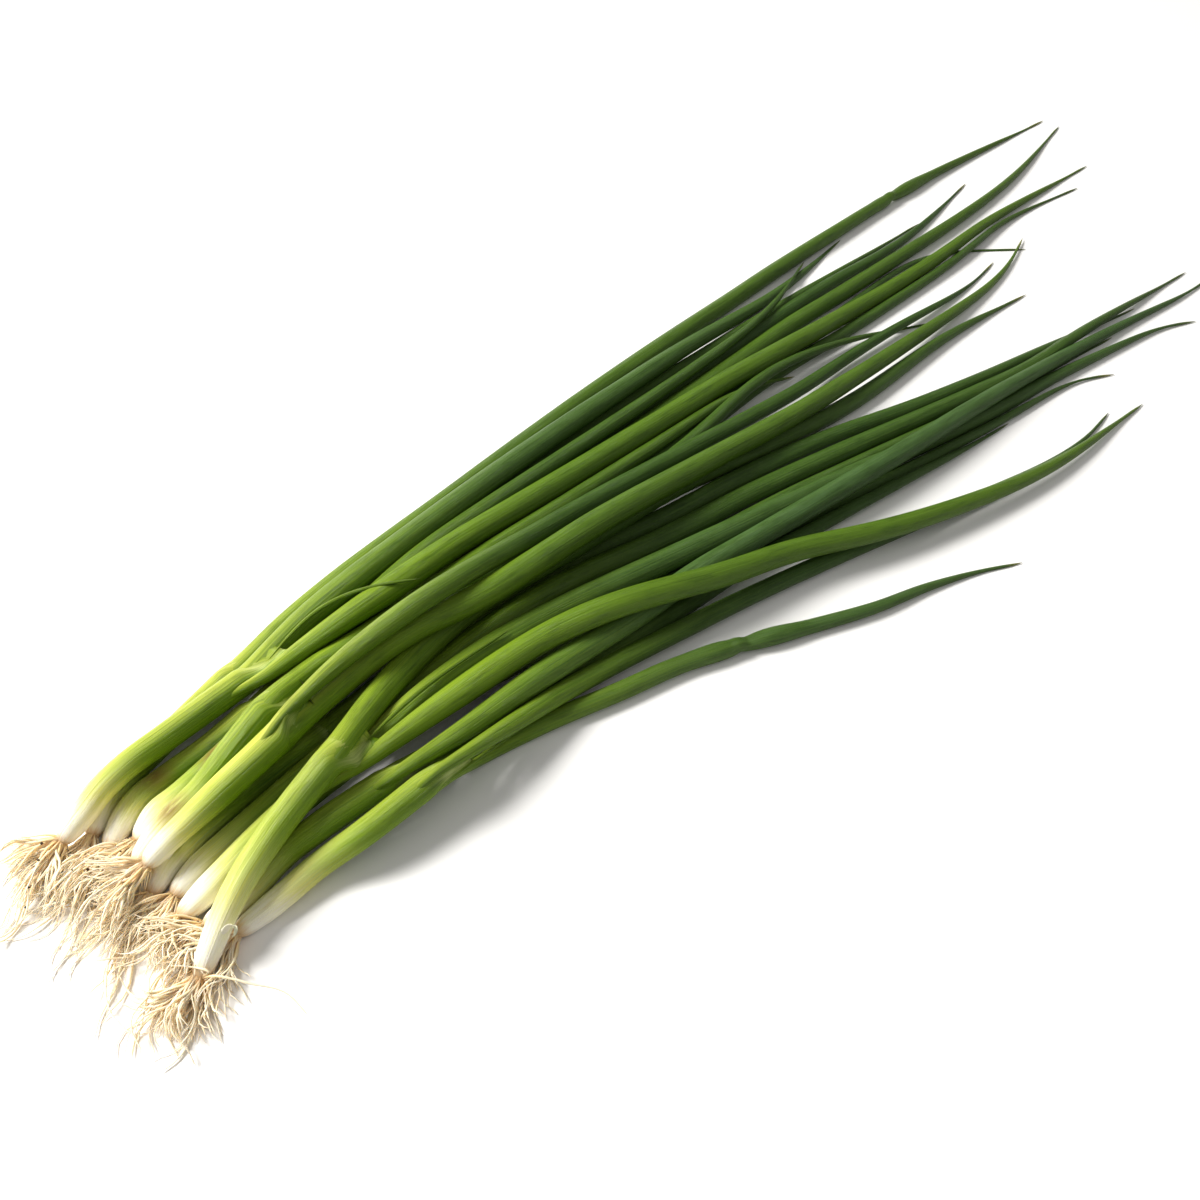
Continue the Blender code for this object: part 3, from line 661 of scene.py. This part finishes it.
def fork_outline(middles, widths, turns, pinch):
    """Distance from the middle to the outline round discs: their hull, pinched between them."""
    discs = list(zip(middles, widths))
    for a in range(len(middles)):
        for b in range(a):
            for t in np.linspace(0.06, 0.94, 15):
                size = widths[a] * (1 - t) + widths[b] * t
                discs.append((middles[a] * (1 - t) + middles[b] * t,
                              size * (1 - pinch * 4 * t * (1 - t))))
    heading = np.column_stack([np.cos(turns), np.sin(turns)])
    reach = np.full(len(turns), 0.1 * MM)
    for middle, size in discs:
        along = heading @ middle
        left = size ** 2 - (middle @ middle - along ** 2)
        reach = np.maximum(reach, np.where(left > 0, along + np.sqrt(np.maximum(left, 0)), 0.0))
    return reach


def between(middles, widths):
    """The point between discs: the middle of the gaps of the first with each other."""
    if len(middles) == 1:
        return middles[0]
    shares = [widths[0] / (widths[0] + width) for width in widths[1:]]
    return np.mean([middles[0] + share * (middle - middles[0])
                    for share, middle in zip(shares, middles[1:])], axis=0)


def shank_path(plant):
    """A shank's fine course, led on along its first leaf for the sleeve, and where it forks."""
    points, widths, s = plant.fine_shank
    foot = np.clip(s / FOOT_ROUNDING, 0.0, 1.0)
    widths = softened(widths, EASED_SHANK)
    widths *= FOOT_WIDTH + (1 - FOOT_WIDTH) * np.sin(foot * math.pi / 2)
    leaf_points, _, leaf_s = plant.leaves[LETTERS[0]]
    beyond = np.arange(SHANK_SPACING, SLEEVE, SHANK_SPACING)
    more = np.column_stack([np.interp(beyond + TUCK, leaf_s, leaf_points[:, k]) for k in range(3)])
    points = np.vstack([points, more])
    for axis in range(3):
        points[:, axis] = softened(points[:, axis], EASED_SHANK)
    widths = np.r_[widths, np.full(len(beyond), widths[-1])]
    return points, widths, np.r_[s, s[-1] + beyond], len(s)


def draw_in(plant, tube, places, points, fork):
    """Draw a shank's last rings in round its leaves, and say where the sheath is thin there."""
    forward, across, upward = frames(points)
    slant = plant.rng.uniform(0, FULL_TURN)
    thin = np.zeros(len(places))
    for ring in range(fork - EARLY_RINGS, len(points)):
        mine = tube.ring == ring
        turns = tube.turn[mine]
        part = max(0.0, (ring - fork + 1) / (len(points) - fork))
        ease = min(1.0, (ring - fork + EARLY_RINGS + 1) / (2 * EARLY_RINGS + 1))
        ease = ease * ease * (3 - 2 * ease)
        middles, sizes = leaf_discs(points[ring], forward[ring], across[ring], upward[ring],
                                    plant.leaves.values())
        origin = between(middles, sizes)
        fallen = np.clip(part + LIP_SLANT * part * np.cos(turns - slant), 0.0, 1.2)
        lip = SLEEVE_LIP * (1 - LIP_FALL * fallen)
        reach = fork_outline(middles - origin, sizes, turns, part ** 1.5) + lip
        outline = origin + np.column_stack([np.cos(turns), np.sin(turns)]) * reach[:, None]
        hull = (points[ring] + across[ring] * outline[:, :1]
                + upward[ring] * FLATNESS * outline[:, 1:])
        places[mine] = places[mine] * (1 - ease) + hull * ease
        apart = np.min([np.linalg.norm(outline - middle, axis=1) - size
                        for middle, size in zip(middles, sizes)], axis=0)
        thin[mine] = np.clip((apart - THIN_FROM) / THIN_OVER, 0.0, 1.0) * ease
        thin[mine] += 0.5 * np.exp(-(lip / THIN_LIP) ** 2) * (part > 0)
    return np.clip(thin, 0.0, 1.0)


def shank_piece(plant, material):
    """One shank: bulb and sheath, and the sleeve in which the sheath ends round its leaves."""
    points, widths, s, fork = shank_path(plant)
    tube = Tube(FINE_SHANK_SIDES, len(s) - 1)
    phase = wander(plant.rng, s, 0.09, 0.8)[tube.ring]
    relief = 1 + 0.008 * np.sin(7 * tube.turn + phase) + 0.006 * np.sin(13 * tube.turn - phase)
    places = tube.bend(points, widths, FLATNESS, relief)
    places[:, 2] = np.maximum(places[:, 2], LEAST_HEIGHT)
    thin = draw_in(plant, tube, places, points, fork)
    label = f"stem_{plant.number:02d}"
    mesh = mesh_from(tube.bm, places, label)
    past = np.maximum(s - plant.length, 0.0)[tube.ring]
    from_scar = np.hypot(s[tube.ring] - SCARS.get(plant.number, -99.0) * MM,
                         4 * MM * (tube.turn - SCAR_TURN))
    store(mesh, skin=tube.skin(s + plant.shift), rise=plant.rise(s)[tube.ring], past=past,
          band=plant.painted_highlight_side(tube, past), sun=plant.look(LETTERS[0])[0], collar=thin,
          scar=np.clip(1 - from_scar / SCAR_SIZE, 0.0, 1.0))
    add_piece(label, mesh, material, plant.name + "_shank")


# Roots, in mm where a range is given

FINE_ROOT_SIDES = 5
ROOT_SPACING = 1.7 * MM
ROOT_TIP = 0.05 * MM
PLATE_WIDTH = 0.7           # of the plate under the bulb, over the foot
COMPANIONS = 10             # thinner roots that stray round each root of the solids
COMPANION_PARTS = (0.45, 1.0)           # how much of its length they have
WAVE_LENGTH = 16.0 * MM
MAIN_WAVE, COMPANION_WAVES = 0.35, (0.6, 2.2)
ASIDE, RAISED = (-3.8, 3.8), (-2.4, 3.6)            # how far companions stray by their tips
MAIN_WIDTHS, COMPANION_WIDTHS, COLLAR_WIDTHS = (0.42, 0.6), (0.22, 0.5), (0.16, 0.34)
COLLAR_ROOTS = 22           # short fine roots round each plate
COLLAR_LENGTHS = (4.0, 13.0)
STRAY_WIDTH = 0.42
CRUMBS = {10: 26, 4: 10, 6: 16, 9: 10, 11: 4}       # soil crumbs that cling to the roots
CRUMB_SIZES = (0.2, 0.5)

# Long stray roots by plant, each by its points
STRAYS = {
    6: (((-245, -35, 4), (-252, -32, 2), (-259, -34, 1)),),
    8: (((-245, -72, 2), (-243, -77, 2), (-238, -79, 1)),),
    10: (((-240, -20, 5), (-247, -13, 4), (-252, -8, 1)),
         ((-241, -26, 4), (-249, -24, 3), (-256, -20, 1))),
    11: (((-221, -77, 6), (-215, -83, 5), (-209, -89, 3), (-207, -96, 1)),
         ((-222, -75, 6), (-226, -70, 5), (-230, -66, 3))),
}


class RootPlate:
    """The plate under a bulb: where its roots start, and which way they set out."""

    def __init__(self, shank):
        points, radii = shank
        self.foot = points[0]
        self.outward = unit(points[0] - points[1])
        self.across = unit(np.cross(UP, self.outward))
        self.upward = np.cross(self.outward, self.across)
        self.rim = radii[0] * PLATE_WIDTH

    def start(self, turn, share):
        """A place on the plate, by its turn and its share of the rim, and the way out to it."""
        radial = self.across * math.cos(turn) + self.upward * FLATNESS * math.sin(turn)
        return self.foot - self.outward * 0.4 * MM + radial * self.rim * share, radial


def root_along(plate, course, main, rng):
    """The points and width of a root that follows a solid strand, closely if it is the main one."""
    base, radial = plate.start(rng.uniform(0, FULL_TURN), 0.4 if main else math.sqrt(rng.random()))
    keep = len(course) if main else max(3, round(len(course) * rng.uniform(*COMPANION_PARTS)))
    early = (base * 0.6 + course[1] * 0.4 + plate.outward * 0.6 * MM
             + radial * rng.uniform(0.0, 0.9) * MM)
    path = np.vstack([base, early, course[1:keep]])
    points, _, s = smooth_course(path, np.zeros(len(path)), ROOT_SPACING)
    grow = s / s[-1]
    size = (MAIN_WAVE if main else rng.uniform(*COMPANION_WAVES)) * MM
    _, aside, lift = frames(points)
    shift = wander(rng, s, WAVE_LENGTH, size) * grow
    raised = wander(rng, s, WAVE_LENGTH, size) * grow
    if not main:
        shift += rng.uniform(*ASIDE) * MM * grow ** 0.8
        raised += rng.uniform(*RAISED) * MM * grow ** 0.8
    width = rng.uniform(*(MAIN_WIDTHS if main else COMPANION_WIDTHS)) * MM
    return points + aside * shift[:, None] + lift * raised[:, None], width


def collar_root(plate, rng):
    """The points and width of a short fine root from the rim of the plate."""
    base, radial = plate.start(rng.uniform(0, FULL_TURN), rng.uniform(0.7, 1.0))
    long = rng.uniform(*COLLAR_LENGTHS) * MM
    bend = base + plate.outward * long * 0.35 + radial * long * rng.uniform(0.1, 0.35)
    end = bend + plate.outward * long * 0.5 + radial * long * rng.uniform(-0.1, 0.3)
    end[2] *= 0.6
    points, _, _ = smooth_course(np.vstack([base, bend, end]), np.zeros(3), ROOT_SPACING)
    return points, rng.uniform(*COLLAR_WIDTHS) * MM


def stray_root(plate, places):
    """The points and width of a long root through the places given for it."""
    path = np.vstack([plate.foot, np.array(places) * MM])
    points, _, _ = smooth_course(path, np.zeros(len(path)), ROOT_SPACING)
    return points, STRAY_WIDTH * MM


def root_strand(points, width, rng):
    """One root bent along its course: bmesh, vertex places and the values it keeps."""
    s = distances(points)
    tube = Tube(FINE_ROOT_SIDES, len(s) - 1)
    part = s / s[-1]
    widths = width * (1.0 - 0.72 * part ** 1.3) * (1 + wander(rng, s, 0.012, 0.12))
    widths[-1] = ROOT_TIP
    places = tube.bend(points, widths, 1.0)
    skin = tube.skin(s + rng.uniform(0, 9))
    return tube.bm, places, skin, part[tube.ring], np.full(len(places), rng.random() ** 2)


def join_strands(strands, name):
    """One mesh of many strands, with their values."""
    bms, places, skins, parts, tones = zip(*strands)
    whole = bmesh.new()
    for bm in bms:
        helper = bpy.data.meshes.new(name + "_strand")
        bm.to_mesh(helper)
        bm.free()
        whole.from_mesh(helper)
        bpy.data.meshes.remove(helper)
    mesh = mesh_from(whole, np.vstack(places), name)
    store(mesh, skin=np.vstack(skins), rise=np.concatenate(parts), sun=np.concatenate(tones))
    return mesh


def root_piece(plant, material, soil):
    """A tuft: every solid strand becomes a root with thinner, wavier ones straying round it."""
    plate, rng = RootPlate(plant.shank), plant.rng
    node = plant.name + "_roots"
    roots = [root_along(plate, course, companion == 0, rng) for course in root_courses(node)
             for companion in range(COMPANIONS + 1)]
    roots += [collar_root(plate, rng) for _ in range(COLLAR_ROOTS)]
    roots += [stray_root(plate, places) for places in STRAYS.get(plant.number, ())]
    for points, width in roots:
        points[:, 2] = np.maximum(points[:, 2], width)
    label = f"tuft_{plant.number:02d}"
    mesh = join_strands([root_strand(points, width, rng) for points, width in roots], label)
    add_piece(label, mesh, material, node)
    if plant.number in CRUMBS:
        crumbs(f"soil_{plant.number:02d}", roots, CRUMBS[plant.number], soil, rng)


def crumbs(label, roots, count, material, rng):
    """Small lumps of soil that cling to some roots."""
    bm = bmesh.new()
    for _ in range(count):
        points, width = rng.choice(roots)
        place = points[rng.randrange(len(points) // 4, max(3, len(points) * 3 // 4))]
        size = rng.uniform(*CRUMB_SIZES) * MM
        made = bmesh.ops.create_icosphere(bm, subdivisions=1, radius=size)["verts"]
        for v in made:
            v.co *= rng.uniform(0.75, 1.2)
        lift = max(place[2] + width * 0.8, size)
        bmesh.ops.translate(bm, verts=made, vec=(place[0], place[1], lift))
    mesh = bpy.data.meshes.new(label)
    bm.to_mesh(mesh)
    bm.free()
    add_piece(label, mesh, material)


# Loose skin: the plant, where it leaves the shank (mm from the foot, and the turn round it),
# its size in mm, and the angles to the shank at which it leaves and ends
PEELS = (
    ("peel_front", 11, dict(start=12.0, turn=2.6, length=8.0, width=1.9, lift=0.2, curl=3.9)),
    ("peel_left", 3, dict(start=9.0, turn=1.2, length=15.0, width=4.6, lift=0.15, curl=0.7)),
)
PEEL_SIDES = 14
PEEL_STEPS = 26
PEEL_THICKNESS = 0.18 * MM
PEEL_CUP = 0.35             # how hollow it is across, over half its width


def peel(label, plant, material, start, turn, length, width, lift, curl):
    """A strip of sheath skin that has come loose: it lifts off the shank and curls."""
    points, widths, s = plant.fine_shank
    at = np.argmin(np.abs(s - start * MM))
    forward, across, upward = (axis[at] for axis in frames(points))
    radial = across * math.cos(turn) + upward * math.sin(turn)
    sideways = np.cross(forward, radial)
    heading = lift + (curl - lift) * np.linspace(0.0, 1.0, PEEL_STEPS) ** 1.6
    step = length * MM / PEEL_STEPS
    along = np.r_[0.0, np.cumsum(np.cos(heading) * step)][:, None]
    away = np.r_[0.0, np.cumsum(np.sin(heading) * step)][:, None]
    middle = points[at] + radial * widths[at] * 0.93 + forward * along + radial * away
    outward = np.cross(unit(np.gradient(middle, axis=0)), sideways)
    part = np.linspace(0.0, 1.0, PEEL_STEPS + 1)
    half = width * MM / 2 * (1 - part ** 3) * (1 + 0.12 * np.sin(9 * part))
    tube = Tube(PEEL_SIDES, PEEL_STEPS)
    ring, turns = tube.ring, tube.turn
    thick = PEEL_THICKNESS / 2 * np.sin(turns) + PEEL_CUP * half[ring] * np.cos(turns) ** 2
    places = (middle[ring] + sideways * (half[ring] * np.cos(turns))[:, None]
              + outward[ring] * thick[:, None])
    mesh = mesh_from(tube.bm, places, label)
    shift = random.Random(label).random()
    store(mesh, skin=tube.skin(part * length * MM + shift), rise=part[ring])
    add_piece(label, mesh, material)


# Stage

def stage_floor():
    """A plain pale surface."""
    bm = bmesh.new()
    bmesh.ops.create_grid(bm, x_segments=1, y_segments=1, size=FLOOR_REACH)
    mesh = bpy.data.meshes.new("floor")
    bm.to_mesh(mesh)
    bm.free()
    floor = bpy.data.objects.new("floor", mesh)
    bpy.context.scene.collection.objects.link(floor)
    mesh.materials.append(Shader("pale_floor").finish(Base_Color=FLOOR_PALE, Roughness=0.55))


def area_light(name, place, size, power, colour):
    """A square light that faces the bunch."""
    light = bpy.data.lights.new(name, "AREA")
    light.shape = "SQUARE"
    light.size = size
    light.energy = power
    light.color = colour
    lamp = bpy.data.objects.new(name, light)
    lamp.location = place
    lamp.rotation_euler = (-Vector(place)).to_track_quat("-Z", "Y").to_euler()
    bpy.context.scene.collection.objects.link(lamp)


def light_scene():
    """A wide soft light from beyond the bunch's far left side, and pale light all round."""
    world = bpy.data.worlds.new("studio")
    world.use_nodes = True
    background = world.node_tree.nodes["Background"].inputs
    background["Color"].default_value, background["Strength"].default_value = PALE_LIGHT
    bpy.context.scene.world = world
    bpy.context.scene.view_settings.view_transform = "Standard"
    for light in LIGHTS:
        area_light(*light)


def add_camera():
    """The photograph's point of view."""
    camera = bpy.data.cameras.new("camera")
    camera.sensor_width = SENSOR_WIDTH
    camera.lens = SENSOR_WIDTH / 2 / math.tan(FIELD_OF_VIEW / 2)
    camera.clip_start = 0.01
    holder = bpy.data.objects.new("camera", camera)
    level = math.cos(CAMERA_PITCH)
    view = Vector((math.cos(CAMERA_HEADING) * level, math.sin(CAMERA_HEADING) * level,
                   -math.sin(CAMERA_PITCH)))
    holder.location = CAMERA_PLACE
    holder.rotation_euler = view.to_track_quat("-Z", "Y").to_euler()
    bpy.context.scene.collection.objects.link(holder)
    bpy.context.scene.camera = holder


def dress_bunch():
    """Every plant's shank, leaves and roots, and the strips of skin that have come loose."""
    leaf_look = plant_material("leaf_green", 0.06)
    shank_look = plant_material("shank_white_to_green", 0.2)
    root_look, soil_look, skin_look = root_material(), soil_material(), skin_material()
    plants = {number: Plant(number) for number in range(1, PLANTS + 1)}
    for plant in plants.values():
        shank_piece(plant, shank_look)
        for letter in plant.leaves:
            leaf_piece(plant, letter, leaf_look)
        root_piece(plant, root_look, soil_look)
    for label, number, shape in PEELS:
        peel(label, plants[number], skin_look, **shape)


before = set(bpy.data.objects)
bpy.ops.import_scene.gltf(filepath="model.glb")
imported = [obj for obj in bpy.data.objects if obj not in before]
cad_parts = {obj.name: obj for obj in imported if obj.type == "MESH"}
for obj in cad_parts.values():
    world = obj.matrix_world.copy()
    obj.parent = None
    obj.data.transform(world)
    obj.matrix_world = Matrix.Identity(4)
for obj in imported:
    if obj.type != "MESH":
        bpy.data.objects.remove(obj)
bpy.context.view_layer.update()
add_camera()
light_scene()
stage_floor()
dress_bunch()
